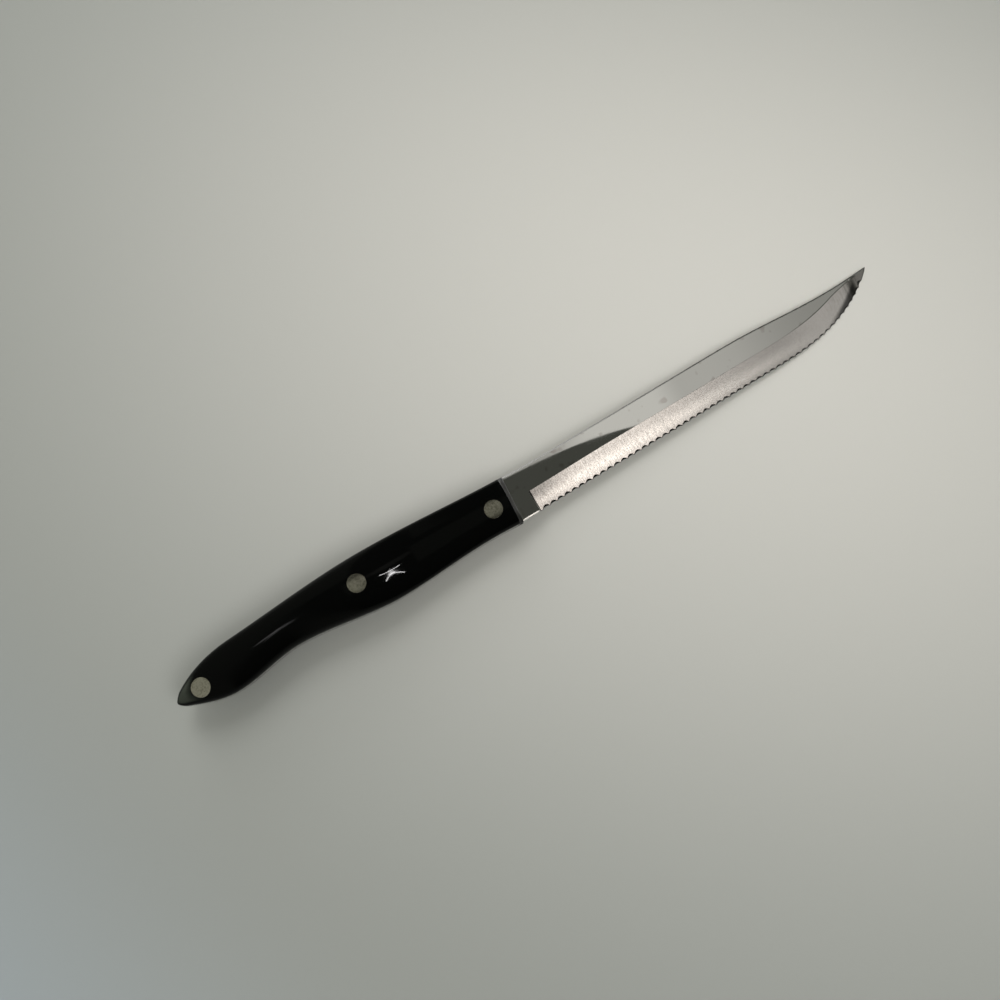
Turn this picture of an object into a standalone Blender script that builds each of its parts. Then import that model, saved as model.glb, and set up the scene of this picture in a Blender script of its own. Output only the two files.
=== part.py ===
"""Carving knife: a scalloped blade with a full tang, two handle scales and three cutler's rivets.

The knife is drawn in its own frame: X from the handle towards the point, Y towards the spine, Z out of
its right side, with the origin on the blade's centre line at the front of the handle. An empty then lays
the knife on its left side on a table, with the middle of its box over the origin. Metres, +Z up.
"""

import math

import bmesh
import bpy
import numpy
from mathutils import Vector

MM = 0.001

# Blade: lengths run from the front of the handle, or back from the point where the name says so
BLADE_LENGTH = 154.0 * MM
BLADE_THICKNESS = 1.8 * MM
POINT_THICKNESS = 1.2 * MM
TAPER_FROM_POINT = 60.0 * MM
EDGE_DROP = 8.0 * MM
EDGE_THICKNESS = 0.04 * MM
POINT_RISE = 7.25 * MM
POINT_BLUNT = 0.35 * MM

# Spine: rises are above the blade's centre line
SPINE_HEEL_RISE = 8.25 * MM
SPINE_HEEL_SLOPE = -0.04
SPINE_DIP_AT = 30.0 * MM
SPINE_DIP_RISE = 7.8 * MM
SPINE_CREST_FROM_POINT = 62.0 * MM
SPINE_CREST_RISE = 8.1 * MM
SPINE_DROP_FROM_POINT = 37.0 * MM
SPINE_DROP_RISE = 7.0 * MM
SPINE_DROP_SLOPE = -0.06
SPINE_HOLLOW_FROM_POINT = 19.0 * MM
SPINE_HOLLOW_RISE = 6.35 * MM
SPINE_POINT_SLOPE = 0.1

# Edge: the straight stretch sweeps up to the point through one bend
SWEEP_FROM_POINT = 54.0 * MM
SWEEP_BEND_FROM_POINT = 19.0 * MM
SWEEP_BEND_DROP = 4.0 * MM
SWEEP_BEND_SLOPE = 0.34
SWEEP_POINT_SLOPE = 0.95

# Ground bevel: widths are measured up from the edge, and at the point it passes the spine
PLUNGE_AT = 6.0 * MM
PLUNGE_WIDTH = 0.6 * MM
BEVEL_HEEL_WIDTH = 7.6 * MM
BEVEL_FULL_AT = 40.0 * MM
BEVEL_WIDTH = 8.0 * MM
BEVEL_BEND_WIDTH = 7.7 * MM
BEVEL_BEND_SLOPE = -0.04
BEVEL_POINT_WIDTH = 3.1 * MM
BEVEL_POINT_SLOPE = -0.2
LAND_WIDTH = 0.15 * MM

# Scallops, ground into the edge from the right side
SCALLOP_LEAD = 0.7 * MM
SCALLOP_PITCH = 2.83 * MM
SCALLOP_DEPTH = 0.42 * MM
SCALLOP_FACET_ANGLE = math.radians(27.0)
SCALLOP_STEPS = 8
PLAIN_POINT_LENGTH = 4.0 * MM
PLAIN_POINT_STEPS = 3

# Handle outline: lengths run back from its front, or forward from the butt where the name says so
HANDLE_LENGTH = 124.5 * MM
FRONT_TOP_SLOPE = -0.04
CROWN_BACK = 54.0 * MM
CROWN_RISE = 10.95 * MM
REAR_BEND_FROM_BUTT = 23.0 * MM
REAR_BEND_RISE = 8.1 * MM
REAR_BEND_SLOPE = 0.06
BUTT_RISE = 0.0 * MM
BUTT_TOP_SLOPE = 0.75
BUTT_DROP = 2.6 * MM
BUTT_LOWER_SLOPE = -0.42
HEEL_FROM_BUTT = 18.0 * MM
HEEL_DROP = 7.85 * MM
WAIST_FROM_BUTT = 40.5 * MM
WAIST_DROP = 5.05 * MM
BELLY_BACK = 47.0 * MM
BELLY_DROP = 9.05 * MM
NECK_BACK = 15.0 * MM
NECK_DROP = 7.9 * MM
FRONT_DROP = 8.5 * MM
FRONT_LOWER_SLOPE = -0.07
NOSE_LENGTH = 2.5 * MM

# Scales: thicknesses run from the tang's face to the crown of the outer side
SCALE_FRONT = 4.7 * MM
SCALE_HOLLOW = 4.6 * MM
HOLLOW_BACK = 34.0 * MM
SCALE_SWELL = 6.95 * MM
SWELL_BACK = 64.0 * MM
SCALE_WAIST = 6.2 * MM
WAIST_SWELL_SLOPE = 0.045
SCALE_BUTT = 5.0 * MM
BUTT_SWELL_SLOPE = 0.02
SCALE_EDGE_WALL = 0.5 * MM
SECTION_POWER = 2.3
BUTT_ROUND_LENGTH = 13.0 * MM
FRONT_RAKE = 1.7 * MM
FRONT_FLAT_SHARE = 0.8
FRONT_ROUND_LENGTH = 1.4 * MM
FRONT_LEAN = 0.1
LEAN_LENGTH = 14.0 * MM

# Rivets: each is turned in two halves, pressed into each other
RIVET_HEAD_DIAMETER = 6.3 * MM
RIVET_HEAD_DEPTH = 2.2 * MM
RIVET_TUBE_DIAMETER = 4.2 * MM
RIVET_PIN_DIAMETER = 3.0 * MM
FRONT_RIVET_BACK = 7.8 * MM
FRONT_RIVET_RISE = -0.2 * MM
MIDDLE_RIVET_BACK = 58.0 * MM
MIDDLE_RIVET_RISE = 1.6 * MM
REAR_RIVET_FROM_BUTT = 9.2 * MM
REAR_RIVET_RISE = -1.2 * MM

# Fits
GLUE_LINE = 0.1 * MM
RIVET_CLEARANCE = 0.1 * MM

# Attitude at rest on the left side: the point sinks and the edge rolls down
REST_PITCH = math.radians(1.92)
REST_ROLL = math.radians(2.27)

# Fineness of the faceted surfaces
STATION_PACE = 2.4 * MM
SECTION_STEPS = 18
NOSE_STEPS = 6
NOSE_TURN = math.radians(78.0)
FRONT_ROUND_STEPS = 3
RIVET_SIDES = 36
BLADE_CREASE = math.radians(8.0)
HANDLE_CREASE = math.radians(35.0)

BUTT_X = -HANDLE_LENGTH
LEFT_FACE = -BLADE_THICKNESS / 2
RIGHT_FACE = BLADE_THICKNESS / 2
SCALE_SEAT = RIGHT_FACE + GLUE_LINE
RIVET_REACH = 2 * (SCALE_SEAT + SCALE_SWELL)


def along(knots, x):
    """Height at x on the smooth curve through knots of (x, height, slope), listed in rising x."""
    place = sum(x > knot[0] for knot in knots[1:-1])
    start_x, start, start_slope = knots[place]
    end_x, end, end_slope = knots[place + 1]
    span = end_x - start_x
    t = (x - start_x) / span
    rise = t * t * (3 - 2 * t)
    lead_in = t * (1 - t) ** 2
    lead_out = t * t * (t - 1)
    return start + (end - start) * rise + span * (start_slope * lead_in + end_slope * lead_out)


def evenly(start, end, pace):
    """Places from start to end in equal steps of about pace."""
    steps = max(1, round((end - start) / pace))
    return [float(x) for x in numpy.linspace(start, end, steps + 1)]


# Outline and section of the blade

SPINE = (
    (0.0, SPINE_HEEL_RISE, SPINE_HEEL_SLOPE),
    (SPINE_DIP_AT, SPINE_DIP_RISE, 0.0),
    (BLADE_LENGTH - SPINE_CREST_FROM_POINT, SPINE_CREST_RISE, 0.0),
    (BLADE_LENGTH - SPINE_DROP_FROM_POINT, SPINE_DROP_RISE, SPINE_DROP_SLOPE),
    (BLADE_LENGTH - SPINE_HOLLOW_FROM_POINT, SPINE_HOLLOW_RISE, 0.0),
    (BLADE_LENGTH, POINT_RISE, SPINE_POINT_SLOPE),
)
EDGE = (
    (0.0, -EDGE_DROP, 0.0),
    (BLADE_LENGTH - SWEEP_FROM_POINT, -EDGE_DROP, 0.0),
    (BLADE_LENGTH - SWEEP_BEND_FROM_POINT, -SWEEP_BEND_DROP, SWEEP_BEND_SLOPE),
    (BLADE_LENGTH, POINT_RISE - POINT_BLUNT, SWEEP_POINT_SLOPE),
)
BEVEL = (
    (PLUNGE_AT, BEVEL_HEEL_WIDTH, 0.0),
    (BEVEL_FULL_AT, BEVEL_WIDTH, 0.0),
    (BLADE_LENGTH - SWEEP_FROM_POINT, BEVEL_WIDTH, 0.0),
    (BLADE_LENGTH - SWEEP_BEND_FROM_POINT, BEVEL_BEND_WIDTH, BEVEL_BEND_SLOPE),
    (BLADE_LENGTH, BEVEL_POINT_WIDTH, BEVEL_POINT_SLOPE),
)
TAPER = (
    (0.0, BLADE_THICKNESS, 0.0),
    (BLADE_LENGTH - TAPER_FROM_POINT, BLADE_THICKNESS, 0.0),
    (BLADE_LENGTH, POINT_THICKNESS, 0.0),
)


def bevel_slope(x):
    """Thickness that the ground bevel gains per unit of height at x."""
    return (along(TAPER, x) - EDGE_THICKNESS) / along(BEVEL, x)


def right_side(x, y):
    """Z of the blade's right side: the polished flat, or the ground bevel below the shoulder."""
    ground = EDGE_THICKNESS + bevel_slope(x) * (y - along(EDGE, x))
    return LEFT_FACE + min(ground, along(TAPER, x))


def edge_points(x, cut):
    """The edge at x ground back by cut: its foot on the left side and its facet's top on the bevel."""
    step = SCALLOP_PITCH / SCALLOP_STEPS
    slope = (along(EDGE, x) - along(EDGE, x - step)) / step
    inward = Vector((-slope, 1.0)).normalized()
    facet_run = 1 / math.tan(SCALLOP_FACET_ANGLE)
    reach = (cut + EDGE_THICKNESS * facet_run) / (1 - bevel_slope(x) * facet_run)
    reach = min(reach, (along(SPINE, x) - along(EDGE, x)) / 2)
    base = Vector((x, along(EDGE, x)))
    foot = base + cut * inward
    top = base + reach * inward
    return (foot.x, foot.y, LEFT_FACE), (top.x, top.y, right_side(x, top.y))


def ground_column(x):
    """Ground section at x: spine left, edge foot, facet top, shoulder, spine right."""
    spine = along(SPINE, x)
    shoulder = min(along(EDGE, x) + along(BEVEL, x), spine - LAND_WIDTH)
    foot, top = edge_points(x, 0.0)
    return [
        (x, spine, LEFT_FACE),
        foot,
        top,
        (x, shoulder, right_side(x, shoulder)),
        (x, spine, right_side(x, spine)),
    ]


def full_column(x, top, bottom, middle):
    """Section of full thickness at x, with its corners in the order of a ground section's."""
    return [
        (x, top, LEFT_FACE),
        (x, bottom, LEFT_FACE),
        (x, bottom, RIGHT_FACE),
        (x, middle, RIGHT_FACE),
        (x, top, RIGHT_FACE),
    ]


def tooth_places():
    """X of the teeth between scallops, at equal lengths along the swept edge."""
    start = PLUNGE_AT + PLUNGE_WIDTH + SCALLOP_LEAD
    end = BLADE_LENGTH - PLAIN_POINT_LENGTH
    xs = evenly(start, end, SCALLOP_PITCH / SCALLOP_STEPS)
    heights = [along(EDGE, x) for x in xs]
    lengths = numpy.concatenate(([0.0], numpy.cumsum(numpy.hypot(numpy.diff(xs), numpy.diff(heights)))))
    marks = evenly(0.0, lengths[-1], SCALLOP_PITCH)
    return [float(x) for x in numpy.interp(marks, lengths, xs)]


def scallop(start, end):
    """Points of one round scallop between the teeth at start and end, teeth left out."""
    radius = SCALLOP_PITCH**2 / (8 * SCALLOP_DEPTH) + SCALLOP_DEPTH / 2
    points = []
    for step in range(1, SCALLOP_STEPS):
        share = step / SCALLOP_STEPS
        aside = (share - 0.5) * SCALLOP_PITCH
        cut = math.sqrt(radius**2 - aside**2) - radius + SCALLOP_DEPTH
        points.append(edge_points(start + share * (end - start), cut))
    return points


# Outline and section of the handle

HANDLE_TOP = (
    (BUTT_X, BUTT_RISE, BUTT_TOP_SLOPE),
    (BUTT_X + REAR_BEND_FROM_BUTT, REAR_BEND_RISE, REAR_BEND_SLOPE),
    (-CROWN_BACK, CROWN_RISE, 0.0),
    (0.0, SPINE_HEEL_RISE, FRONT_TOP_SLOPE),
)
HANDLE_BOTTOM = (
    (BUTT_X, -BUTT_DROP, BUTT_LOWER_SLOPE),
    (BUTT_X + HEEL_FROM_BUTT, -HEEL_DROP, 0.0),
    (BUTT_X + WAIST_FROM_BUTT, -WAIST_DROP, 0.0),
    (-BELLY_BACK, -BELLY_DROP, 0.0),
    (-NECK_BACK, -NECK_DROP, 0.0),
    (0.0, -FRONT_DROP, FRONT_LOWER_SLOPE),
)
SCALE_CROWN = (
    (BUTT_X, SCALE_BUTT, BUTT_SWELL_SLOPE),
    (BUTT_X + WAIST_FROM_BUTT, SCALE_WAIST, WAIST_SWELL_SLOPE),
    (-SWELL_BACK, SCALE_SWELL, 0.0),
    (-HOLLOW_BACK, SCALE_HOLLOW, 0.0),
    (0.0, SCALE_FRONT, 0.0),
)
FRONT_FLAT_X = -FRONT_FLAT_SHARE * FRONT_RAKE
FRONT_ROUND_X = FRONT_FLAT_X - FRONT_ROUND_LENGTH
FRONT_FACE = (
    (FRONT_ROUND_X, 1.0, 0.0),
    (FRONT_FLAT_X, FRONT_FLAT_SHARE, -1 / FRONT_RAKE),
    (0.0, 0.0, -1 / FRONT_RAKE),
)


def rounded(x, length):
    """Share of the full size that an end rounded over this length leaves at x."""
    inset = max(0.0, BUTT_X + length - x) / length
    return math.sqrt(1 - inset**2)


def handle_outline(x):
    """The handle's lower and upper edge at x, drawn in round the nose at the butt."""
    nose = (BUTT_RISE - BUTT_DROP) / 2
    share = rounded(x, NOSE_LENGTH)
    bottom = nose + (along(HANDLE_BOTTOM, x) - nose) * share
    top = nose + (along(HANDLE_TOP, x) - nose) * share
    return bottom, top


def scale_height(x, across):
    """Height of a scale over its seat at x, where across runs from -1 to 1 between its edges."""
    crown = (along(SCALE_CROWN, x) - SCALE_EDGE_WALL) * rounded(x, BUTT_ROUND_LENGTH)
    if x > FRONT_ROUND_X:
        crown *= along(FRONT_FACE, x)
    return SCALE_EDGE_WALL + crown * (1 - abs(across) ** SECTION_POWER) ** (1 / SECTION_POWER)


def tang_stations():
    """X of the tang's sections, close together round the nose."""
    turns = numpy.linspace(NOSE_TURN, 0, NOSE_STEPS + 1)
    nose = [BUTT_X + NOSE_LENGTH * (1 - math.sin(turn)) for turn in turns]
    body = evenly(BUTT_X + NOSE_LENGTH, FRONT_ROUND_X, STATION_PACE)
    return nose + body[1:]


def handle_stations():
    """X of the scales' sections: those of the tang, then over the rounded top of the raked front."""
    front = evenly(FRONT_ROUND_X, FRONT_FLAT_X, FRONT_ROUND_LENGTH / FRONT_ROUND_STEPS)
    return tang_stations() + front[1:] + [0.0]


def scale_section(x, floor):
    """Points of a scale's section at x, from its lower to its upper edge, standing on floor."""
    bottom, top = handle_outline(x)
    lean = FRONT_LEAN * max(0.0, 1 + x / LEAN_LENGTH) ** 2
    points = [(x + lean * bottom, bottom, floor)]
    for turn in numpy.linspace(0, math.pi, SECTION_STEPS + 1):
        across = -math.cos(turn)
        y = (bottom + top) / 2 + across * (top - bottom) / 2
        points.append((x + lean * y, y, SCALE_SEAT + scale_height(x, across)))
    points.append((x + lean * top, top, floor))
    return points


def surface_at(x, y):
    """Height of the right scale's outer side over the middle of the tang at x, y."""
    bottom, top = handle_outline(x)
    return SCALE_SEAT + scale_height(x, (2 * y - bottom - top) / (top - bottom))


# Meshes

def finish(name, mesh, material, crease):
    """Object of this name from a filled mesh, smooth but for edges sharper than crease."""
    bmesh.ops.recalc_face_normals(mesh, faces=mesh.faces)
    data = bpy.data.meshes.new(name)
    mesh.to_mesh(data)
    mesh.free()
    data.shade_smooth()
    data.set_sharp_from_angle(angle=crease)
    if material:
        data.materials.append(material)
    made = bpy.data.objects.new(name, data)
    bpy.context.scene.collection.objects.link(made)
    return made


def helper(made):
    """Keeps a cutter out of the knife itself."""
    made.hide_render = True
    made.display_type = "WIRE"
    return made


def cut(piece, tool, operation):
    """Cuts or trims a piece by a tool."""
    step = piece.modifiers.new(f"{operation.lower()} {tool.name}", "BOOLEAN")
    step.operation = operation
    step.object = tool


def metal_or_resin(name, colour, metallic, roughness):
    """Plain material of one colour and sheen."""
    material = bpy.data.materials.new(name)
    material.use_nodes = True
    shader = material.node_tree.nodes["Principled BSDF"]
    shader.inputs["Base Color"].default_value = (*colour, 1.0)
    shader.inputs["Metallic"].default_value = metallic
    shader.inputs["Roughness"].default_value = roughness
    return material


def make_blade(material):
    """Blade and tang in one piece, as sections from the butt to the point."""
    sections = []
    for x in tang_stations():
        bottom, top = handle_outline(x)
        sections.append(full_column(x, top, bottom, (top + bottom) / 2))
    for x in evenly(0.0, PLUNGE_AT, PLUNGE_AT / 2):
        sections.append(full_column(x, along(SPINE, x), -EDGE_DROP, BEVEL_HEEL_WIDTH - EDGE_DROP))
    sections.append(ground_column(PLUNGE_AT + PLUNGE_WIDTH))
    plain = len(sections)
    teeth = tooth_places()
    sections += [ground_column(x) for x in teeth]
    tail = evenly(teeth[-1], BLADE_LENGTH, PLAIN_POINT_LENGTH / PLAIN_POINT_STEPS)
    sections += [ground_column(x) for x in tail[1:]]

    mesh = bmesh.new()
    columns = [[mesh.verts.new(point) for point in section] for section in sections]
    for place, (start, end) in enumerate(zip(columns, columns[1:])):
        tooth = place - plain
        scalloped = 0 <= tooth < len(teeth) - 1
        ground = scallop(teeth[tooth], teeth[tooth + 1]) if scalloped else []
        feet = [start[1], *[mesh.verts.new(foot) for foot, _ in ground], end[1]]
        tops = [start[2], *[mesh.verts.new(top) for _, top in ground], end[2]]
        mesh.faces.new([start[0], *feet, end[0]])
        mesh.faces.new([*tops, end[3], start[3]])
        mesh.faces.new([start[3], end[3], end[4], start[4]])
        mesh.faces.new([start[4], end[4], end[0], start[0]])
        for step in range(len(feet) - 1):
            mesh.faces.new([feet[step], tops[step], tops[step + 1], feet[step + 1]])
    mesh.faces.new(columns[0])
    mesh.faces.new(columns[-1])
    return finish("blade", mesh, material, BLADE_CREASE)


def handle_half(name, side, floor, material):
    """One side of the handle, lofted from section to section and standing on floor."""
    mesh = bmesh.new()
    rings = []
    for x in handle_stations():
        rings.append([mesh.verts.new((px, py, side * pz)) for px, py, pz in scale_section(x, floor)])
    for start, end in zip(rings, rings[1:]):
        for place in range(len(start)):
            after = (place + 1) % len(start)
            mesh.faces.new([start[place], start[after], end[after], end[place]])
    mesh.faces.new(rings[0])
    mesh.faces.new(rings[-1])
    return finish(name, mesh, material, HANDLE_CREASE)


def turned(name, x, y, side, profile, material):
    """Piece turned about the rivet's axis at x, y, from a profile of (radius, height)."""
    mesh = bmesh.new()
    rings = []
    for radius, height in profile:
        ring = []
        for place in range(RIVET_SIDES):
            turn = 2 * math.pi * place / RIVET_SIDES
            out = radius * Vector((math.cos(turn), math.sin(turn)))
            ring.append(mesh.verts.new((x + out.x, y + out.y, side * height)))
        rings.append(ring)
    for start, end in zip(rings, rings[1:]):
        for place in range(RIVET_SIDES):
            after = (place + 1) % RIVET_SIDES
            mesh.faces.new([start[place], start[after], end[after], end[place]])
    mesh.faces.new(rings[0])
    mesh.faces.new(rings[-1])
    return finish(name, mesh, material, HANDLE_CREASE)


def make_rivet(name, x, y, right_trim, left_trim, material):
    """Male half from the right, female half from the left, and the stepped hole that they fill."""
    head = RIVET_HEAD_DIAMETER / 2
    tube = RIVET_TUBE_DIAMETER / 2
    pin = RIVET_PIN_DIAMETER / 2
    bore = pin + RIVET_CLEARANCE
    floor = surface_at(x, y) - RIVET_HEAD_DEPTH
    underside = floor + RIVET_CLEARANCE
    male = turned(
        f"{name}_male",
        x,
        y,
        1,
        [(head, RIVET_REACH), (head, underside), (pin, underside), (pin, RIVET_CLEARANCE - floor)],
        material,
    )
    female = turned(
        f"{name}_female",
        x,
        y,
        -1,
        [
            (head, RIVET_REACH),
            (head, underside),
            (tube, underside),
            (tube, RIVET_CLEARANCE - floor),
            (bore, RIVET_CLEARANCE - floor),
            (bore, floor),
        ],
        material,
    )
    cut(male, right_trim, "INTERSECT")
    cut(female, left_trim, "INTERSECT")
    wide = head + RIVET_CLEARANCE
    narrow = tube + RIVET_CLEARANCE
    hole = turned(
        f"{name}_hole",
        x,
        y,
        1,
        [
            (wide, RIVET_REACH),
            (wide, floor),
            (narrow, floor),
            (narrow, -floor),
            (wide, -floor),
            (wide, -RIVET_REACH),
        ],
        None,
    )
    return [male, female], helper(hole)


def lay_on_table(stand, pieces):
    """Tips the knife into its attitude at rest, on Z = 0 and with the middle of its box over the origin."""
    stand.rotation_euler = (REST_ROLL, REST_PITCH, 0.0)
    bpy.context.view_layer.update()
    graph = bpy.context.evaluated_depsgraph_get()
    corners = []
    for piece in pieces:
        corners += [piece.matrix_world @ vertex.co for vertex in piece.evaluated_get(graph).data.vertices]
    low = Vector([min(values) for values in zip(*corners)])
    high = Vector([max(values) for values in zip(*corners)])
    stand.location = (-(low.x + high.x) / 2, -(low.y + high.y) / 2, -low.z)


def make_knife():
    steel = metal_or_resin("polished_steel", (0.60, 0.60, 0.58), 1.0, 0.18)
    resin = metal_or_resin("black_resin", (0.006, 0.007, 0.006), 0.0, 0.08)
    nickel = metal_or_resin("nickel_silver", (0.56, 0.54, 0.47), 1.0, 0.38)

    blade = make_blade(steel)
    right_scale = handle_half("right_scale", 1, SCALE_SEAT, resin)
    left_scale = handle_half("left_scale", -1, SCALE_SEAT, resin)
    right_trim = helper(handle_half("right_trim", 1, -RIVET_REACH, None))
    left_trim = helper(handle_half("left_trim", -1, -RIVET_REACH, None))

    pieces = [blade, right_scale, left_scale]
    helpers = [right_trim, left_trim]
    places = (
        ("front_rivet", -FRONT_RIVET_BACK, FRONT_RIVET_RISE),
        ("middle_rivet", -MIDDLE_RIVET_BACK, MIDDLE_RIVET_RISE),
        ("rear_rivet", BUTT_X + REAR_RIVET_FROM_BUTT, REAR_RIVET_RISE),
    )
    for name, x, y in places:
        halves, hole = make_rivet(name, x, y, right_trim, left_trim, nickel)
        for piece in (blade, right_scale, left_scale):
            cut(piece, hole, "DIFFERENCE")
        pieces += halves
        helpers.append(hole)

    stand = bpy.data.objects.new("knife", None)
    bpy.context.scene.collection.objects.link(stand)
    for made in pieces + helpers:
        made.parent = stand
    lay_on_table(stand, pieces)


for old in list(bpy.data.objects):
    bpy.data.objects.remove(old, do_unlink=True)
make_knife()
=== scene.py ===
import math

import bmesh
import bpy
import numpy
from mathutils import Euler, Matrix, Vector


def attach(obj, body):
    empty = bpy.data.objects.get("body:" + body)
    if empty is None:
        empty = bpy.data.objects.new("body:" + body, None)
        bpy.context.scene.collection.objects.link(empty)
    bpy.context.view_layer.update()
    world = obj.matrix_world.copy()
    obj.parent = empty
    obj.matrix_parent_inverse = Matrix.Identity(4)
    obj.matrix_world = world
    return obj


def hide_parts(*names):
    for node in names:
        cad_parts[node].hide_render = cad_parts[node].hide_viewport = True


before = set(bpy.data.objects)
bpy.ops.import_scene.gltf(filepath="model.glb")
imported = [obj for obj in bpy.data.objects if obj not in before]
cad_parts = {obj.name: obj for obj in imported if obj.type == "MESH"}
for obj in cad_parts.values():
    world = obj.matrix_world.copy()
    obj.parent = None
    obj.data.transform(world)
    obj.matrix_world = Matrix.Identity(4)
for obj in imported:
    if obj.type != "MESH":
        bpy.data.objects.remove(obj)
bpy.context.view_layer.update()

# Blade and tang: one strip of stainless steel, polished bright on both sides, with a wide bevel ground into
# its right side and fine scallops ground into the edge. The tang runs the whole length of the handle, so its
# edges show all round between the scales.

MM = 0.001
BLADE_LENGTH = 154.0 * MM
BLADE_THICKNESS = 1.8 * MM
POINT_THICKNESS = 1.2 * MM
EDGE_DROP = 8.0 * MM
EDGE_THICKNESS = 0.02 * MM
POINT_RISE = 7.25 * MM
POINT_BLUNT = 0.35 * MM
HEEL_RISE = 8.25 * MM
RIGHT_FACE = BLADE_THICKNESS / 2
LEFT_FACE = -BLADE_THICKNESS / 2

# Where the bevel begins, where the edge starts to sweep up, and where it bends towards the point
PLUNGE_AT = 6.0 * MM
PLUNGE_WIDTH = 0.6 * MM
SWEEP_AT = BLADE_LENGTH - 54.0 * MM
BEND_AT = BLADE_LENGTH - 19.0 * MM

# Curves of the blade as knots of (place along the knife, height, slope)
SPINE = (
    (0.0, HEEL_RISE, -0.04),
    (30.0 * MM, 7.8 * MM, 0.0),
    (BLADE_LENGTH - 62.0 * MM, 8.1 * MM, 0.0),
    (BLADE_LENGTH - 37.0 * MM, 7.0 * MM, -0.06),
    (BEND_AT, 6.35 * MM, 0.0),
    (BLADE_LENGTH, POINT_RISE, 0.1),
)
EDGE = (
    (0.0, -EDGE_DROP, 0.0),
    (SWEEP_AT, -EDGE_DROP, 0.0),
    (BEND_AT, -4.0 * MM, 0.34),
    (BLADE_LENGTH, POINT_RISE - POINT_BLUNT, 0.95),
)

# The same for widths of the bevel, the blade's thickness, and half the strip that eases the bevel's shoulder
BEVEL_HEEL_WIDTH = 7.6 * MM
BEVEL = (
    (PLUNGE_AT, BEVEL_HEEL_WIDTH, 0.0),
    (40.0 * MM, 8.0 * MM, 0.0),
    (SWEEP_AT, 8.0 * MM, 0.0),
    (BEND_AT, 7.7 * MM, -0.04),
    (BLADE_LENGTH, 3.1 * MM, -0.2),
)
TAPER = (
    (0.0, BLADE_THICKNESS, 0.0),
    (BLADE_LENGTH - 60.0 * MM, BLADE_THICKNESS, 0.0),
    (BLADE_LENGTH, POINT_THICKNESS, 0.0),
)
EASED_SHOULDER = (
    (PLUNGE_AT, 0.03 * MM, 0.0),
    (BLADE_LENGTH - 45.0 * MM, 0.03 * MM, 0.0),
    (BLADE_LENGTH - 25.0 * MM, 0.14 * MM, 0.0),
    (BLADE_LENGTH, 0.14 * MM, 0.0),
)
LAND_WIDTH = 0.15 * MM

# Corners eased by (run down the face, drop into the thickness)
EASED_SPINE = (0.45 * MM, 0.14 * MM)
EASED_HEEL = (0.35 * MM, 0.075 * MM)
EASED_TANG = (0.02 * MM, 0.02 * MM)

# Where the blade grows thin or low, an eased strip keeps to one part in so many of its thickness or height
CORNER_PART = 3
SPINE_PART = 5
SHOULDER_PART = 25
LAND_PART = 20

# Scallops, with the run of a facet up the bevel for each unit of thickness that it cuts through
SCALLOP_LEAD = 0.7 * MM
SCALLOP_PITCH = 2.83 * MM
SCALLOP_DEPTH = 0.42 * MM
FACET_RUN = 2.45
SCALLOP_STEPS = 10
PLAIN_POINT_LENGTH = 4.0 * MM
EDGE_PACE = 0.3 * MM
HEEL_PACE = 1.0 * MM
POINT_PACE = 0.4 * MM

# Curves of the handle's outline, which the tang shares with the scales
HANDLE_LENGTH = 124.5 * MM
BUTT = -HANDLE_LENGTH
BUTT_RISE = 0.0 * MM
BUTT_DROP = 2.6 * MM
HANDLE_TOP = (
    (BUTT, BUTT_RISE, 0.75),
    (BUTT + 23.0 * MM, 8.1 * MM, 0.06),
    (-54.0 * MM, 10.95 * MM, 0.0),
    (0.0, HEEL_RISE, -0.04),
)
HANDLE_BOTTOM = (
    (BUTT, -BUTT_DROP, -0.42),
    (BUTT + 18.0 * MM, -7.85 * MM, 0.0),
    (BUTT + 40.5 * MM, -5.05 * MM, 0.0),
    (-47.0 * MM, -9.05 * MM, 0.0),
    (-15.0 * MM, -7.9 * MM, 0.0),
    (0.0, -8.5 * MM, -0.07),
)
NOSE_LENGTH = 2.5 * MM
NOSE_TURN = math.radians(78.0)
NOSE_STEPS = 12
TANG_PACE = 1.0 * MM
FRONT_ROUND = -2.76 * MM

# Rivets' places on the blade, as (name, place along the knife, height), and the holes drilled for them
RIVETS = (
    ("front_rivet", -7.8 * MM, -0.2 * MM),
    ("middle_rivet", -58.0 * MM, 1.6 * MM),
    ("rear_rivet", BUTT + 9.2 * MM, -1.2 * MM),
)
RIVET_SIDES = 72
TUBE_RADIUS = 2.1 * MM
HOLE_PLAY = 0.04 * MM
HOLE = TUBE_RADIUS + HOLE_PLAY

# Attitude at rest, lying on the left side of the handle and on the point
REST_PLACE = (-14.729 * MM, -0.951 * MM, 5.789 * MM)
REST_ROLL = math.radians(2.27)
REST_PITCH = math.radians(1.92)
REST = Matrix.Translation(REST_PLACE) @ Euler((REST_ROLL, REST_PITCH, 0.0)).to_matrix().to_4x4()


def along(knots, x):
    """Height at x on the smooth curve through the knots."""
    place = sum(x > knot[0] for knot in knots[1:-1])
    start_x, start, start_slope = knots[place]
    end_x, end, end_slope = knots[place + 1]
    span = end_x - start_x
    t = (x - start_x) / span
    rise = t * t * (3 - 2 * t)
    bend = start_slope * t * (1 - t) ** 2 + end_slope * t * t * (t - 1)
    return start + (end - start) * rise + span * bend


def evenly(start, end, pace):
    """Places from start to end in equal steps of about pace."""
    return [float(x) for x in numpy.linspace(start, end, max(1, round((end - start) / pace)) + 1)]


def rounded(x, length):
    """Share of the full size that the butt, rounded over this length, leaves at x."""
    inset = max(0.0, BUTT + length - x) / length
    return math.sqrt(max(0.0, 1 - inset**2))


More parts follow.
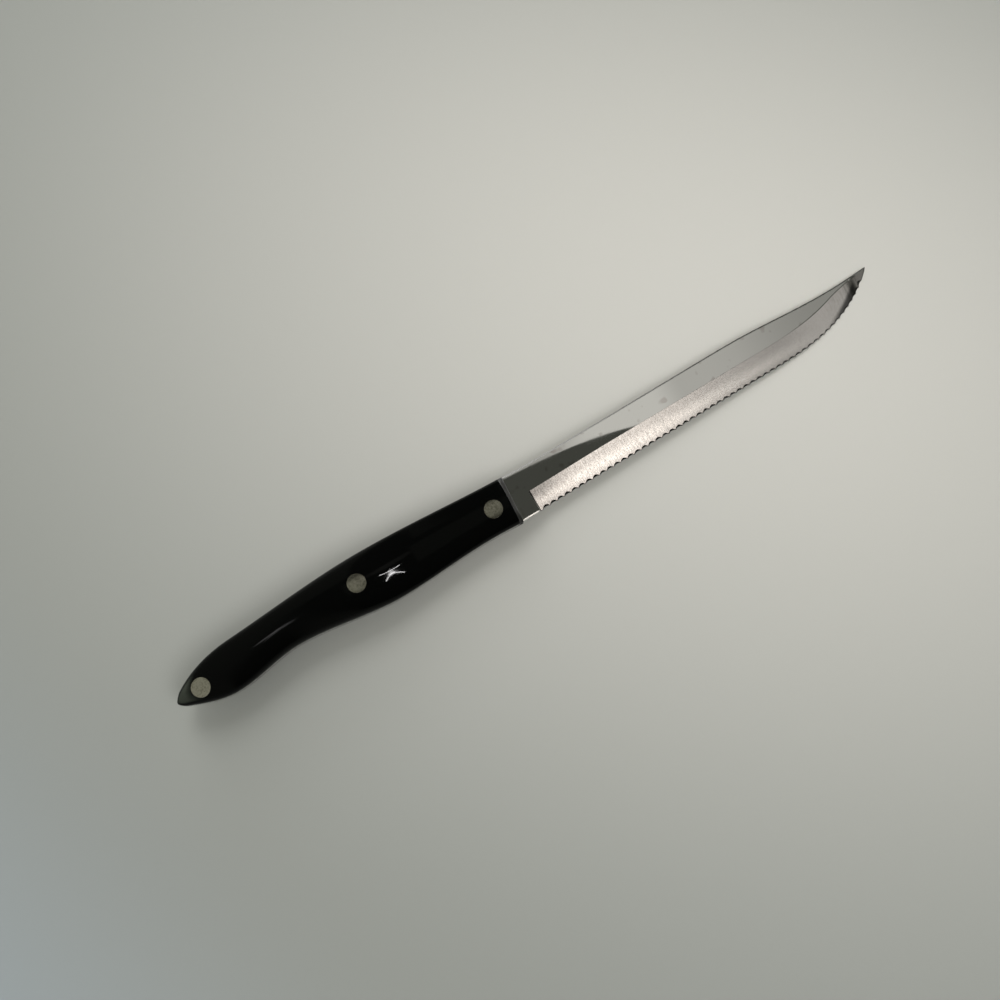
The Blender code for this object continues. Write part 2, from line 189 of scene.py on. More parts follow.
def handle_outline(x):
    """The handle's lower and upper edge at x, drawn in round the nose at the butt."""
    nose = (BUTT_RISE - BUTT_DROP) / 2
    share = rounded(x, NOSE_LENGTH)
    return (
        nose + (along(HANDLE_BOTTOM, x) - nose) * share,
        nose + (along(HANDLE_TOP, x) - nose) * share,
    )


def tang_places():
    """Places along the handle, close together round the nose."""
    turns = numpy.linspace(NOSE_TURN, 0, NOSE_STEPS + 1)
    nose = [BUTT + NOSE_LENGTH * (1 - math.sin(turn)) for turn in turns]
    return nose + evenly(BUTT + NOSE_LENGTH, FRONT_ROUND, TANG_PACE)[1:]


def ground_slope(x):
    """Thickness that the bevel gains per unit of height at x."""
    return (along(TAPER, x) - EDGE_THICKNESS) / along(BEVEL, x)


def right_side(x, y):
    """Z of the blade's right side: the polished flat, or the bevel below the shoulder."""
    return LEFT_FACE + min(EDGE_THICKNESS + ground_slope(x) * (y - along(EDGE, x)), along(TAPER, x))


def full_side(x, y):
    """Z of the right side where the steel is left at its full thickness."""
    return RIGHT_FACE


def edge_points(x, depth):
    """Foot of the edge on the left side and top of its facet on the bevel, ground back by depth."""
    step = SCALLOP_PITCH / SCALLOP_STEPS
    slope = (along(EDGE, x) - along(EDGE, x - step)) / step
    inward = Vector((-slope, 1.0)).normalized()
    reach = (depth + EDGE_THICKNESS * FACET_RUN) / (1 - ground_slope(x) * FACET_RUN)
    reach = min(reach, (along(SPINE, x) - along(EDGE, x)) / 2)
    base = Vector((x, along(EDGE, x)))
    foot = base + depth * inward
    top = base + reach * inward
    return (foot.x, foot.y, LEFT_FACE), (top.x, top.y, right_side(top.x, top.y))


def spine_points(x, spine, eased, side):
    """The back of the blade at x, between its eased right corner and its eased left corner."""
    run, drop = eased
    face = side(x, spine)
    drop = min(drop, (face - LEFT_FACE) / CORNER_PART)
    return [
        (x, spine - run, side(x, spine - run)),
        (x, spine, face - drop),
        (x, spine, LEFT_FACE + drop),
        (x, spine - run, LEFT_FACE),
    ]


def ground_column(x, depth):
    """Points round the blade at x: edge, facet, bevel, eased shoulder, flat and back."""
    foot, top = edge_points(x, depth)
    edge, spine = along(EDGE, x), along(SPINE, x)
    height = spine - edge
    run = min(EASED_SPINE[0], height / SPINE_PART)
    strip = min(along(EASED_SHOULDER, x), height / SHOULDER_PART)
    land = min(LAND_WIDTH, height / LAND_PART)
    shoulder = min(edge + along(BEVEL, x), spine - run - strip - land)
    low, high = shoulder - strip, shoulder + strip
    back = spine_points(x, spine, (run, EASED_SPINE[1]), right_side)
    return [foot, top, (x, low, right_side(x, low)), (x, high, right_side(x, high))] + back


def full_column(x, bottom, spine, low_eased, high_eased):
    """Points round the unground steel of the tang or of the heel, with its corners eased."""
    run, drop = low_eased
    return [
        (x, bottom, LEFT_FACE),
        (x, bottom, RIGHT_FACE - drop),
        (x, bottom + run, RIGHT_FACE),
        (x, (bottom + spine) / 2, RIGHT_FACE),
    ] + spine_points(x, spine, high_eased, full_side)


def plunge_column():
    """Points round the blade where the bevel begins, at the end of the heel."""
    shoulder = BEVEL_HEEL_WIDTH - EDGE_DROP
    strip = along(EASED_SHOULDER, PLUNGE_AT)
    return [
        (PLUNGE_AT, -EDGE_DROP, LEFT_FACE),
        (PLUNGE_AT, -EDGE_DROP, RIGHT_FACE),
        (PLUNGE_AT, shoulder - strip, RIGHT_FACE),
        (PLUNGE_AT, shoulder + strip, RIGHT_FACE),
    ] + spine_points(PLUNGE_AT, along(SPINE, PLUNGE_AT), EASED_SPINE, full_side)


def tooth_places():
    """Teeth between the scallops, at equal lengths along the swept edge."""
    xs = evenly(PLUNGE_AT + PLUNGE_WIDTH + SCALLOP_LEAD, BLADE_LENGTH - PLAIN_POINT_LENGTH, EDGE_PACE)
    heights = [along(EDGE, x) for x in xs]
    lengths = numpy.concatenate(([0.0], numpy.cumsum(numpy.hypot(numpy.diff(xs), numpy.diff(heights)))))
    return [float(x) for x in numpy.interp(evenly(0.0, lengths[-1], SCALLOP_PITCH), lengths, xs)]


def scallop_depth(share):
    """Depth of a scallop, an arc of one radius, at a share of the way along it."""
    radius = SCALLOP_PITCH**2 / (8 * SCALLOP_DEPTH) + SCALLOP_DEPTH / 2
    return math.sqrt(radius**2 - ((share - 0.5) * SCALLOP_PITCH) ** 2) - radius + SCALLOP_DEPTH


def blade_columns():
    """Sections of the blade from the butt of the tang, past heel and scallops, to the point."""
    columns = []
    for x in tang_places():
        bottom, top = handle_outline(x)
        columns.append(full_column(x, bottom, top, EASED_TANG, EASED_TANG))
    for x in evenly(0.0, PLUNGE_AT - EASED_HEEL[1], HEEL_PACE):
        columns.append(full_column(x, -EDGE_DROP, along(SPINE, x), EASED_HEEL, EASED_SPINE))
    columns += [plunge_column(), ground_column(PLUNGE_AT + PLUNGE_WIDTH, 0.0)]
    teeth = tooth_places()
    for start, end in zip(teeth, teeth[1:]):
        for step in range(SCALLOP_STEPS):
            share = step / SCALLOP_STEPS
            columns.append(ground_column(start + share * (end - start), scallop_depth(share)))
    columns += [ground_column(x, 0.0) for x in evenly(teeth[-1], BLADE_LENGTH, POINT_PACE)]
    return columns


def made(name, mesh):
    """Object of this name from a filled mesh."""
    bmesh.ops.recalc_face_normals(mesh, faces=mesh.faces)
    data = bpy.data.meshes.new(name)
    mesh.to_mesh(data)
    mesh.free()
    piece = bpy.data.objects.new(name, data)
    bpy.context.scene.collection.objects.link(piece)
    return piece


def round_turns():
    """Angles of the corners round a turned piece."""
    return [2 * math.pi * place / RIVET_SIDES for place in range(RIVET_SIDES)]


def skinned(mesh, rings):
    """Fills the wall between rings of a turned piece."""
    for start, end in zip(rings, rings[1:]):
        for place in range(RIVET_SIDES):
            after = (place + 1) % RIVET_SIDES
            mesh.faces.new([start[place], start[after], end[after], end[place]])


def turned(name, x, y, profile):
    """Closed piece turned about a rivet's axis at x, y from a profile of (radius, height)."""
    mesh = bmesh.new()
    rings = []
    for radius, height in profile:
        points = [(x + radius * math.cos(t), y + radius * math.sin(t), height) for t in round_turns()]
        rings.append([mesh.verts.new(point) for point in points])
    skinned(mesh, rings)
    mesh.faces.new(rings[0])
    mesh.faces.new(rings[-1])
    return made(name, mesh)


def drilled(piece, drills):
    """Cuts the drills out of a piece, for good."""
    for drill in drills:
        hole = piece.modifiers.new(drill.name, "BOOLEAN")
        hole.object = drill
        hole.solver = "EXACT"
    bpy.context.view_layer.update()
    whole = bpy.data.meshes.new_from_object(piece.evaluated_get(bpy.context.evaluated_depsgraph_get()))
    piece.modifiers.clear()
    piece.data = whole
    for drill in drills:
        bpy.data.objects.remove(drill)


def laid_down(piece, node, crease):
    """Shades a piece, lays it in the knife's attitude at rest, and lets it stand for a node."""
    mesh = bmesh.new()
    mesh.from_mesh(piece.data)
    for face in mesh.faces:
        face.smooth = True
    for edge in mesh.edges:
        one, other = edge.link_faces
        edge.smooth = one.material_index == other.material_index and edge.calc_face_angle() < crease
    mesh.transform(REST)
    mesh.to_mesh(piece.data)
    mesh.free()
    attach(piece, "root")
    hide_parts(node)


def shader_of(name, colour, roughness, metallic=0.0):
    """A new material of this plain colour and roughness, with its nodes and its shader."""
    material = bpy.data.materials.new(name)
    material.use_nodes = True
    shader = material.node_tree.nodes["Principled BSDF"]
    shader.inputs["Base Color"].default_value = (*colour, 1.0)
    shader.inputs["Metallic"].default_value = metallic
    shader.inputs["Roughness"].default_value = roughness
    return material, material.node_tree, shader


def grain(tree, stretch, scale, detail):
    """Noise over the piece's own lengths, with about scale grains to the metre times stretch on each axis."""
    place = tree.nodes.new("ShaderNodeTexCoord")
    spread = tree.nodes.new("ShaderNodeMapping")
    spread.inputs["Scale"].default_value = stretch
    noise = tree.nodes.new("ShaderNodeTexNoise")
    noise.inputs["Scale"].default_value = scale
    noise.inputs["Detail"].default_value = detail
    tree.links.new(place.outputs["Object"], spread.inputs["Vector"])
    tree.links.new(spread.outputs["Vector"], noise.inputs["Vector"])
    return noise.outputs["Fac"]


def spread_over(tree, value, over, onto):
    """Maps a value smoothly from one range onto another."""
    ranged = tree.nodes.new("ShaderNodeMapRange")
    ranged.interpolation_type = "SMOOTHSTEP"
    ranged.inputs["From Min"].default_value, ranged.inputs["From Max"].default_value = over
    ranged.inputs["To Min"].default_value, ranged.inputs["To Max"].default_value = onto
    tree.links.new(value, ranged.inputs["Value"])
    return ranged.outputs["Result"]


def worked(tree, operation, *values):
    """Arithmetic on sockets or numbers."""
    step = tree.nodes.new("ShaderNodeMath")
    step.operation = operation
    for place, value in enumerate(values):
        if isinstance(value, (int, float)):
            step.inputs[place].default_value = value
        else:
            tree.links.new(value, step.inputs[place])
    return step.outputs["Value"]


def times(tree, *values):
    """Product of sockets or numbers."""
    product = values[0]
    for value in values[1:]:
        product = worked(tree, "MULTIPLY", product, value)
    return product


def parts_of(tree, vector):
    """X, Y and Z of a vector."""
    parts = tree.nodes.new("ShaderNodeSeparateXYZ")
    tree.links.new(vector, parts.inputs["Vector"])
    return parts.outputs


def places_of(tree):
    """The piece's own lengths along X, Y and Z, laid down."""
    return parts_of(tree, tree.nodes.new("ShaderNodeTexCoord").outputs["Object"])


def tinted(tree, shader, value, dark, light):
    """Colours the shader between dark and light, which may be an earlier tint, by a value."""
    blend = tree.nodes.new("ShaderNodeMix")
    blend.data_type = "RGBA"
    blend.inputs["A"].default_value = (*dark, 1.0)
    if isinstance(light, tuple):
        blend.inputs["B"].default_value = (*light, 1.0)
    else:
        tree.links.new(light, blend.inputs["B"])
    tree.links.new(value, blend.inputs["Factor"])
    tree.links.new(blend.outputs["Result"], shader.inputs["Base Color"])
    return blend.outputs["Result"]


def raised(tree, shader, value, height, under=None):
    """Raises the surface by a value, on top of an earlier raising."""
    bump = tree.nodes.new("ShaderNodeBump")
    bump.inputs["Distance"].default_value = height
    tree.links.new(value, bump.inputs["Height"])
    if under:
        tree.links.new(under, bump.inputs["Normal"])
    tree.links.new(bump.outputs["Normal"], shader.inputs["Normal"])
    return bump.outputs["Normal"]


def roughened(tree, shader, value, over, onto):
    """Lets the shader's roughness follow a value."""
    tree.links.new(spread_over(tree, value, over, onto), shader.inputs["Roughness"])


# An even grain, the range that most of its values lie in, and a share that grows or fades
EVEN = (1.0, 1.0, 1.0)
GRAIN_RANGE = (0.3, 0.7)
GROW = (0.0, 1.0)
FADE = (1.0, 0.0)

# Polished flat: bright, with wiped smears, a few stains and the finest scratches along the blade
POLISHED_COLOUR = (0.64, 0.64, 0.62)
STAIN_COLOUR = (0.52, 0.5, 0.48)
STAIN_RANGE = (0.26, 0.37)
SMEAR_RANGE = (0.35, 0.75)
SMEAR_ROUGHNESS = (0.008, 0.02)
SCRATCH_DEPTH = 0.0001 * MM
polished, tree, shader = shader_of("polished_steel", POLISHED_COLOUR, roughness=0.012, metallic=1.0)
smears = grain(tree, (1.0, 1.4, 1.0), scale=90.0, detail=3.0)
roughened(tree, shader, smears, SMEAR_RANGE, SMEAR_ROUGHNESS)
stains = grain(tree, EVEN, scale=260.0, detail=1.0)
tinted(tree, shader, spread_over(tree, stains, STAIN_RANGE, GROW), STAIN_COLOUR, POLISHED_COLOUR)
raised(tree, shader, grain(tree, (0.05, 1.0, 1.0), scale=6000.0, detail=2.0), SCRATCH_DEPTH)

# Bevel: ground crosswise, coarse and speckled at the heel and finer towards the point
GROUND_COLOUR = (0.7, 0.68, 0.66)
SPECKLE_DARK, SPECKLE_BRIGHT = (0.6, 0.57, 0.55), (0.78, 0.76, 0.74)
SPECKLE_RANGE = (0.3, 0.62)
STROKE_ROUGHNESS = (0.17, 0.27)
STROKE_DEPTH = 0.004 * MM
FADING_ALONG, FADING = (0.06, 0.11), (1.0, 0.2)
FINER_ALONG, FINER = (0.09, 0.118), (1.0, 0.5)
ground, tree, shader = shader_of("ground_steel", GROUND_COLOUR, roughness=0.22, metallic=1.0)
length, height, _ = places_of(tree)
strokes = grain(tree, (1.0, 0.12, 0.12), scale=3600.0, detail=4.0)
speckle = grain(tree, EVEN, scale=2400.0, detail=2.0)
fading = spread_over(tree, length, FADING_ALONG, FADING)
coarse = spread_over(tree, strokes, GRAIN_RANGE, STROKE_ROUGHNESS)
finer = spread_over(tree, length, FINER_ALONG, FINER)
tree.links.new(times(tree, coarse, finer), shader.inputs["Roughness"])
bright = times(tree, spread_over(tree, speckle, SPECKLE_RANGE, GROW), fading)
ground_tint = tinted(tree, shader, bright, SPECKLE_DARK, SPECKLE_BRIGHT)
raised(tree, shader, times(tree, strokes, fading), STROKE_DEPTH)

# Painted sheen: the bevel's colour darkens towards its top and its foot, so it is brightest along its middle,
# and it is darker near the heel, most over its upper part
SHEEN_TOP, SHEEN_MIDDLE, SHEEN_FOOT = -2.5 * MM, -6.0 * MM, -8.4 * MM
PAINTED_SHEEN_DARKENING = 0.27
PAINTED_SHEEN_RUNS_OUT = (0.09, 0.115)
HEEL_DARKENING_ALONG, HEEL_DARKENING_ACROSS = (-6.0 * MM, 13.0 * MM), (-3.5 * MM, -7.0 * MM)
HEEL_DARKENING = (0.33, 0.13)
BLACK = (0.0, 0.0, 0.0)
# Painted sheen: darkening towards the bevel's top and foot, which runs out near the point
painted_sheen_falloff = worked(
    tree,
    "ADD",
    spread_over(tree, height, (SHEEN_TOP, SHEEN_MIDDLE), (PAINTED_SHEEN_DARKENING, 0.0)),
    spread_over(tree, height, (SHEEN_MIDDLE, SHEEN_FOOT), (0.0, PAINTED_SHEEN_DARKENING)),
)
painted_sheen_falloff = times(tree, painted_sheen_falloff, spread_over(tree, length, PAINTED_SHEEN_RUNS_OUT, FADE))
heel_darkening = times(
    tree,
    spread_over(tree, length, HEEL_DARKENING_ALONG, FADE),
    spread_over(tree, height, HEEL_DARKENING_ACROSS, HEEL_DARKENING),
)
# Share of the bevel's colour left after the painted sheen and the darkening near the heel
painted_sheen_and_heel_darkening = worked(tree, "SUBTRACT", worked(tree, "SUBTRACT", 1.0, painted_sheen_falloff), heel_darkening)
ground_tint = tinted(tree, shader, painted_sheen_and_heel_darkening, BLACK, ground_tint)

# Painted shade near the point, darkening the bevel towards the edge along a cubic that follows its sweep
CUBIC_FROM = 0.12
CUBIC = (218.87, 8.82, 0.4875, -3.28 * MM)
EDGE_SHADE_ACROSS, EDGE_SHADE_DARKNESS = (-1.0 * MM, 0.9 * MM), (0.9, 0.0)
EDGE_SHADE_BEGINS, EDGE_SHADE_ENDS = (0.108, 0.124), (0.1305, 0.1325)
PAINTED_EDGE_SHADE_COLOUR = (0.05, 0.05, 0.048)
along_cubic = worked(tree, "SUBTRACT", length, CUBIC_FROM)
sweep = CUBIC[0]
for term in CUBIC[1:]:
    sweep = worked(tree, "MULTIPLY_ADD", along_cubic, sweep, term)
# Painted shade: darker towards the edge near the point
painted_edge_shade = times(
    tree,
    spread_over(tree, worked(tree, "SUBTRACT", height, sweep), EDGE_SHADE_ACROSS, EDGE_SHADE_DARKNESS),
    spread_over(tree, length, EDGE_SHADE_BEGINS, GROW),
    spread_over(tree, length, EDGE_SHADE_ENDS, FADE),
)
tinted(tree, shader, worked(tree, "SUBTRACT", 1.0, painted_edge_shade), PAINTED_EDGE_SHADE_COLOUR, ground_tint)

# Facets of the scallops: steep to the light, with painted shade in a near-black steel colour
FACET_PAINTED_SHADE = (0.12, 0.12, 0.115)
FACET_ROUGHNESS = (0.07, 0.13)
FINE_DEPTH = 0.002 * MM
# Painted shade: the facets' steel colour is near black
facet, tree, shader = shader_of("scallop_steel", FACET_PAINTED_SHADE, roughness=0.1, metallic=1.0)
facet_strokes = grain(tree, (1.0, 0.2, 0.2), scale=5000.0, detail=2.0)
roughened(tree, shader, facet_strokes, GRAIN_RANGE, FACET_ROUGHNESS)
raised(tree, shader, facet_strokes, FINE_DEPTH)

# Plain edges of the strip: sanded lengthwise, with a painted highlight along the underside of the heel
PLAIN_COLOUR, HEEL_HIGHLIGHT_COLOUR = (0.6, 0.6, 0.58), (0.97, 0.97, 0.95)
PLAIN_ROUGHNESS = (0.2, 0.3)
HEEL_HIGHLIGHT_ALONG, HEEL_HIGHLIGHT_ACROSS = (-16.0 * MM, -14.0 * MM), (-7.0 * MM, -8.0 * MM)
plain, tree, shader = shader_of("edge_steel", PLAIN_COLOUR, roughness=0.25, metallic=1.0)
length, height, _ = places_of(tree)
edge_strokes = grain(tree, (0.08, 1.0, 1.0), scale=4000.0, detail=3.0)
# Painted highlight along the underside of the heel
heel = times(
    tree, spread_over(tree, length, HEEL_HIGHLIGHT_ALONG, GROW), spread_over(tree, height, HEEL_HIGHLIGHT_ACROSS, GROW)
)
tinted(tree, shader, heel, PLAIN_COLOUR, HEEL_HIGHLIGHT_COLOUR)
roughened(tree, shader, edge_strokes, GRAIN_RANGE, PLAIN_ROUGHNESS)
raised(tree, shader, edge_strokes, FINE_DEPTH)

# Faces run round each section: facet, bevel, shoulder, flat, corner, spine, corner, left side
FLAT, GROUND, FACET, PLAIN, SHOULDER = range(5)
FINISHES = (polished, ground, facet, plain, polished)
GROUND_FACES = (FACET, GROUND, SHOULDER, FLAT, PLAIN, PLAIN, PLAIN, FLAT)
FULL_FACES = (PLAIN, PLAIN, FLAT, FLAT, PLAIN, PLAIN, PLAIN, FLAT)
HAIR = MM / 100
BLADE_CREASE = math.radians(12.0)

mesh = bmesh.new()
rings = [[mesh.verts.new(point) for point in column] for column in blade_columns()]
for start, end in zip(rings, rings[1:]):
    faces = GROUND_FACES if end[0].co.x > PLUNGE_AT + HAIR else FULL_FACES
    for place, finish in enumerate(faces):
        after = (place + 1) % len(start)
        mesh.faces.new([start[place], start[after], end[after], end[place]]).material_index = finish
mesh.faces.new(rings[0]).material_index = PLAIN
mesh.faces.new(rings[-1]).material_index = PLAIN
blade = made("ground_blade", mesh)
for finish in FINISHES:
    blade.data.materials.append(finish)
through = [(HOLE, 2 * LEFT_FACE), (HOLE, 2 * RIGHT_FACE)]
drilled(blade, [turned(f"{name}_tang_drill", x, y, through) for name, x, y in RIVETS])
laid_down(blade, "blade", BLADE_CREASE)
steel = bpy.data.collections.new("steel")
steel.objects.link(blade)

# Scales: two halves of black resin, moulded to the shape of the grip, riveted to the tang and polished flush
# with it. Each is crowned across, swells at the palm, thins towards the blade, and is raked at its front.

GLUE_LINE = 0.1 * MM
SEAT = RIGHT_FACE + GLUE_LINE
SCALE_CROWN = (
    (BUTT, 5.0 * MM, 0.02),
    (BUTT + 40.5 * MM, 6.2 * MM, 0.045),
    (-63.0 * MM, 6.95 * MM, 0.0),
    (-34.0 * MM, 4.6 * MM, 0.0),
    (0.0, 4.7 * MM, 0.0),
)
EDGE_WALL = 0.5 * MM
SECTION_POWER = 2.3
SECTION_STEPS = 72
BUTT_ROUND_LENGTH = 13.0 * MM

# Raked front: the share of the crown that is left there, and how far it leans back towards the spine
FRONT_RAKE = 1.7 * MM
FRONT_FLAT = -1.36 * MM
FRONT_FACE = (
    (FRONT_ROUND, 1.0, 0.0),
    (FRONT_FLAT, 0.8, -1 / FRONT_RAKE),
    (0.0, 0.0, -1 / FRONT_RAKE),
)
FRONT_LEAN = 0.1
LEAN_LENGTH = 14.0 * MM
FRONT_ROUND_PACE = 0.2 * MM
FRONT_PACE = 0.3 * MM
SAWN_FROM = -1.9 * MM
POLISHED, SAWN = range(2)
HANDLE_CREASE = math.radians(35.0)

# Counterbores for the rivets' heads, drilled from well outside the scale
HEAD_RADIUS = 3.15 * MM
HEAD_DEPTH = 2.2 * MM
HEAD_REACH = 20.0 * MM


def scale_height(x, across):
    """Height of a scale over its seat at x, where across runs from -1 to 1 between its edges."""
    crown = (along(SCALE_CROWN, x) - EDGE_WALL) * rounded(x, BUTT_ROUND_LENGTH)
    if x > FRONT_ROUND:
        crown *= along(FRONT_FACE, x)
    return EDGE_WALL + crown * max(0.0, 1 - abs(across) ** SECTION_POWER) ** (1 / SECTION_POWER)


def scale_surface(x, y):
    """Height of a scale's outer side over the middle of the tang at x, y."""
    bottom, top = handle_outline(x)
    return SEAT + scale_height(x, (2 * y - bottom - top) / (top - bottom))


def scale_section(x):
    """Points round a scale at x, from its seat over the crown and back to the seat."""
    bottom, top = handle_outline(x)
    lean = FRONT_LEAN * max(0.0, 1 + x / LEAN_LENGTH) ** 2
    points = [(x + lean * bottom, bottom, SEAT)]
    for turn in numpy.linspace(0, math.pi, SECTION_STEPS + 1):
        y = (bottom + top) / 2 - math.cos(turn) * (top - bottom) / 2
        points.append((x + lean * y, y, SEAT + scale_height(x, -math.cos(turn))))
    points.append((x + lean * top, top, SEAT))
    return points


def scale(name, side):
    """One half of the handle, lofted from the butt to the raked front and drilled for the rivets."""
    places = tang_places()
    places += evenly(FRONT_ROUND, FRONT_FLAT, FRONT_ROUND_PACE)[1:]
    places += evenly(FRONT_FLAT, 0.0, FRONT_PACE)[1:]
    mesh = bmesh.new()
    rings = [[mesh.verts.new((px, py, side * pz)) for px, py, pz in scale_section(x)] for x in places]
    for x, start, end in zip(places, rings, rings[1:]):
        for place in range(len(start)):
            after = (place + 1) % len(start)
            face = mesh.faces.new([start[place], start[after], end[after], end[place]])
            face.material_index = SAWN if x > SAWN_FROM else POLISHED
    mesh.faces.new(rings[0])
    mesh.faces.new(rings[-1]).material_index = SAWN
    half = made(name, mesh)
    half.data.materials.append(resin)
    half.data.materials.append(sawn)
    drills = []
    for rivet, x, y in RIVETS:
        floor = scale_surface(x, y) - HEAD_DEPTH
        wide = HEAD_RADIUS + HOLE_PLAY
        profile = [(wide, HEAD_REACH), (wide, floor), (HOLE, floor), (HOLE, 0.0)]
        drills.append(turned(f"{name}_{rivet}_drill", x, y, [(r, side * z) for r, z in profile]))
    drilled(half, drills)
    return half


# Moulded skin: glossy black, faintly clouded, with a painted grey-green reflection over the butt's end
RESIN_COLOUR = (0.002, 0.0023, 0.002)
PLAIN_RESIN_COLOUR, BUTT_SHEEN_COLOUR = (0.001, 0.0011, 0.001), (0.031, 0.035, 0.028)
RESIN_GLOSS = 0.06
CLOUD_RANGE, CLOUD_ROUGHNESS = (0.35, 0.8), (0.02, 0.05)
POLISH_DEPTH = 0.0004 * MM
BUTT_SHEEN_BACKWARDS, BUTT_SHEEN_UPWARDS = (-0.16, -0.34), (0.6, 0.86)
BUTT_SHEEN_ALONG = (-0.1285, -0.1335)
BUTT_SHEEN_PATCHES, BUTT_SHEEN_SHARE = (0.3, 0.6), (0.75, 1.0)
resin, tree, shader = shader_of("black_resin", RESIN_COLOUR, roughness=0.05)
shader.inputs["Specular IOR Level"].default_value = RESIN_GLOSS
clouds = grain(tree, EVEN, scale=60.0, detail=4.0)
roughened(tree, shader, clouds, CLOUD_RANGE, CLOUD_ROUGHNESS)
facing = parts_of(tree, tree.nodes.new("ShaderNodeNewGeometry").outputs["Normal"])
# Painted reflection: grey-green on the faces over the butt's end that turn up and back
painted_butt_sheen = times(
    tree,
    spread_over(tree, facing["X"], BUTT_SHEEN_BACKWARDS, GROW),
    spread_over(tree, facing["Z"], BUTT_SHEEN_UPWARDS, GROW),
    spread_over(tree, places_of(tree)["X"], BUTT_SHEEN_ALONG, GROW),
    spread_over(tree, clouds, BUTT_SHEEN_PATCHES, BUTT_SHEEN_SHARE),
)
tinted(tree, shader, painted_butt_sheen, PLAIN_RESIN_COLOUR, BUTT_SHEEN_COLOUR)
raised(tree, shader, grain(tree, (0.1, 1.0, 1.0), scale=3000.0, detail=2.0), POLISH_DEPTH)

# Sawn front: matt and grey, paler along its foot, and almost black at its lower end, with a painted
# highlight along its brow
SAWN_COLOUR = (0.05, 0.05, 0.049)
SAWN_DARK, SAWN_PALE = (0.03, 0.03, 0.03), (0.13, 0.13, 0.127)
SAWN_LOW_COLOUR, SAWN_LOW = (0.004, 0.004, 0.004), (-8.0 * MM, -5.0 * MM)
SAWN_ROUGHNESS = (0.38, 0.55)
SAW_DEPTH = 0.01 * MM
SAW_SHARE = 0.2
FRONT_AT = -14.64 * MM
FOOT_AT = (FRONT_AT - 0.35 * MM, FRONT_AT - 0.2 * MM)
BROW_HIGHLIGHT_AT, BROW_HIGHLIGHT_SHARE = (FRONT_AT - 1.5 * MM, FRONT_AT - 1.3 * MM), (0.4, 0.0)
sawn, tree, shader = shader_of("sawn_resin", SAWN_COLOUR, roughness=0.45)
saw_marks = grain(tree, (1.0, 0.2, 1.0), scale=2500.0, detail=3.0)
ends = places_of(tree)
ahead = worked(tree, "SUBTRACT", ends["X"], times(tree, ends["Y"], FRONT_LEAN))
foot = spread_over(tree, ahead, FOOT_AT, GROW)
# Painted highlight along the brow of the sawn front
brow_highlight = spread_over(tree, ahead, BROW_HIGHLIGHT_AT, BROW_HIGHLIGHT_SHARE)
marks_foot_and_highlight = worked(tree, "ADD", times(tree, saw_marks, SAW_SHARE), worked(tree, "ADD", foot, brow_highlight))
sawn_tint = tinted(tree, shader, marks_foot_and_highlight, SAWN_DARK, SAWN_PALE)
tinted(tree, shader, spread_over(tree, ends["Y"], SAWN_LOW, GROW), SAWN_LOW_COLOUR, sawn_tint)
roughened(tree, shader, saw_marks, GRAIN_RANGE, SAWN_ROUGHNESS)
raised(tree, shader, saw_marks, SAW_DEPTH)

handle = bpy.data.collections.new("handle")
for name, side, node in (("resin_scale_right", 1, "right_scale"), ("resin_scale_left", -1, "left_scale")):
    half = scale(name, side)
    laid_down(half, node, HANDLE_CREASE)
    handle.objects.link(half)

# Rivets: three cutler's rivets of nickel silver, each turned in two halves. The male half's pin is pressed
# into the female half's tube through scales and tang, and the heads are sanded down to the resin.

PIN_RADIUS = 1.5 * MM
PIN_PLAY = 0.05 * MM
BORE = PIN_RADIUS + PIN_PLAY
HEAD_RINGS = 10
RIM = 0.06 * MM
RIVET_CREASE = math.radians(30.0)


def rivet_half(name, x, y, side, shank):
    """Half of a rivet: a head that follows the crowned resin, and a shank of (radius, height) rings."""
    mesh = bmesh.new()

    def ring(radius, height=None, drop=0.0):
        points = [(x + radius * math.cos(t), y + radius * math.sin(t)) for t in round_turns()]
        heights = [scale_surface(*point) - drop if height is None else height for point in points]
        return [mesh.verts.new((*point, side * z)) for point, z in zip(points, heights)]

    rings = [ring((HEAD_RADIUS - RIM) * place / HEAD_RINGS) for place in range(1, HEAD_RINGS + 1)]
    rings.append(ring(HEAD_RADIUS, drop=RIM))
    rings.append(ring(HEAD_RADIUS, scale_surface(x, y) - HEAD_DEPTH + HOLE_PLAY))
    rings += [ring(radius, height) for radius, height in shank]
    middle = mesh.verts.new((x, y, side * scale_surface(x, y)))
    for place in range(RIVET_SIDES):
        mesh.faces.new([middle, rings[0][place], rings[0][(place + 1) % RIVET_SIDES]])
    skinned(mesh, rings)
    mesh.faces.new(rings[-1])
    return made(name, mesh)


# Nickel silver, sanded flush and mottled by tarnish
NICKEL_COLOUR = (0.38, 0.36, 0.3)
TARNISHED_COLOUR, BARE_COLOUR = (0.3, 0.285, 0.23), (0.42, 0.4, 0.34)
MOTTLE_RANGE = (0.3, 0.6)
NICKEL_ROUGHNESS = (0.17, 0.22)
nickel, tree, shader = shader_of("nickel_silver", NICKEL_COLOUR, roughness=0.28, metallic=1.0)
sanding = grain(tree, (1.0, 0.15, 1.0), scale=1800.0, detail=3.0)
mottle = grain(tree, EVEN, scale=1300.0, detail=3.0)
roughened(tree, shader, sanding, GRAIN_RANGE, NICKEL_ROUGHNESS)
tinted(tree, shader, spread_over(tree, mottle, MOTTLE_RANGE, GROW), TARNISHED_COLOUR, BARE_COLOUR)
raised(tree, shader, mottle, FINE_DEPTH, raised(tree, shader, sanding, FINE_DEPTH))

